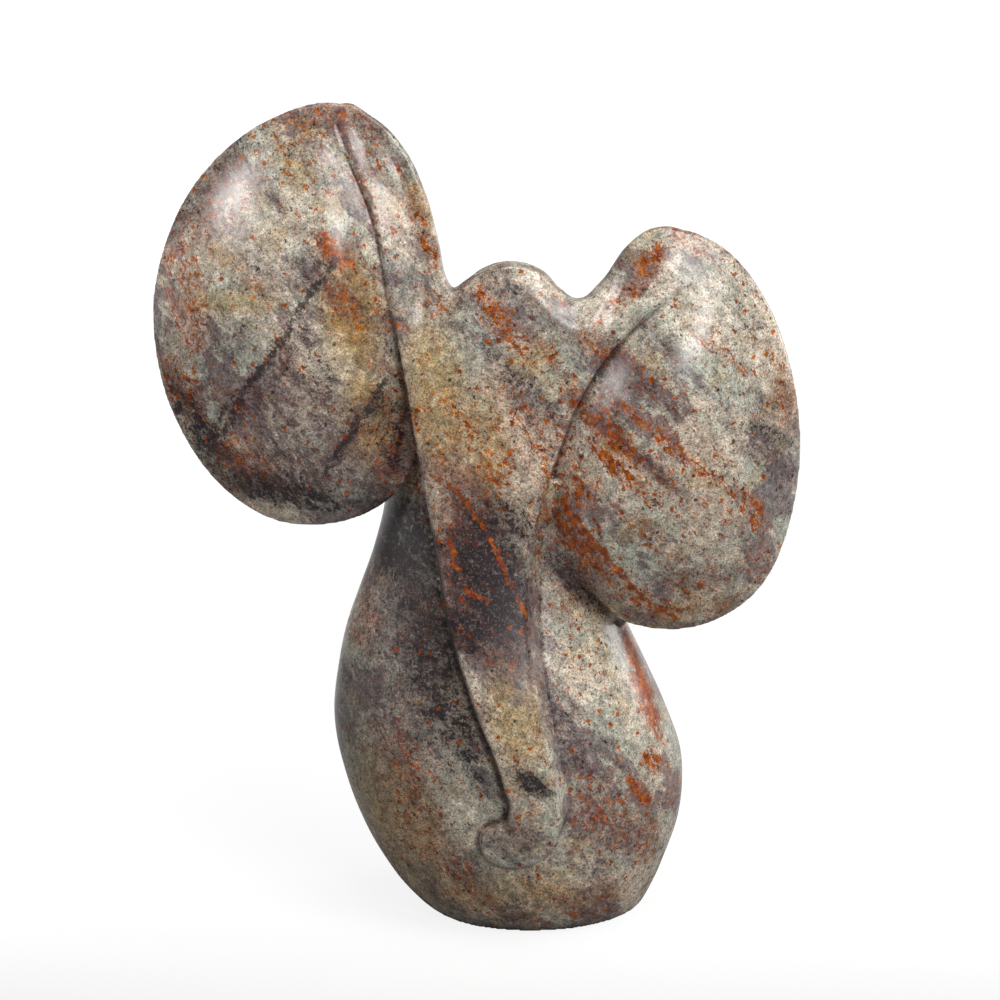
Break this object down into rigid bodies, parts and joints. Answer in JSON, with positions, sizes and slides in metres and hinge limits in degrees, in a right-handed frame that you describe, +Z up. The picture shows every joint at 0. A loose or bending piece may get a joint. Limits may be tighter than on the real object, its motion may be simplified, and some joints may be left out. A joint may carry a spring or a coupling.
{
  "type": "sculpture",
  "caption": "Carved polished stone elephant figure with large rounded ears and a long trunk down its belly, standing upright on a flat foot.",
  "frame": {"origin": "middle of the flat underside of the foot, which the figure rests on", "axes": "+Z up, along the figure's height; the face and trunk look along -Y; +X is to the right of someone who faces the elephant"},
  "size_m": [0.2145, 0.0868, 0.28],
  "materials": {
    "stone": "polished, mottled grey, cream and purple with rust-red specks and streaks"
  },
  "bodies": {
    "root": {"stone_elephant": "stone"}
  },
  "joints": []
}
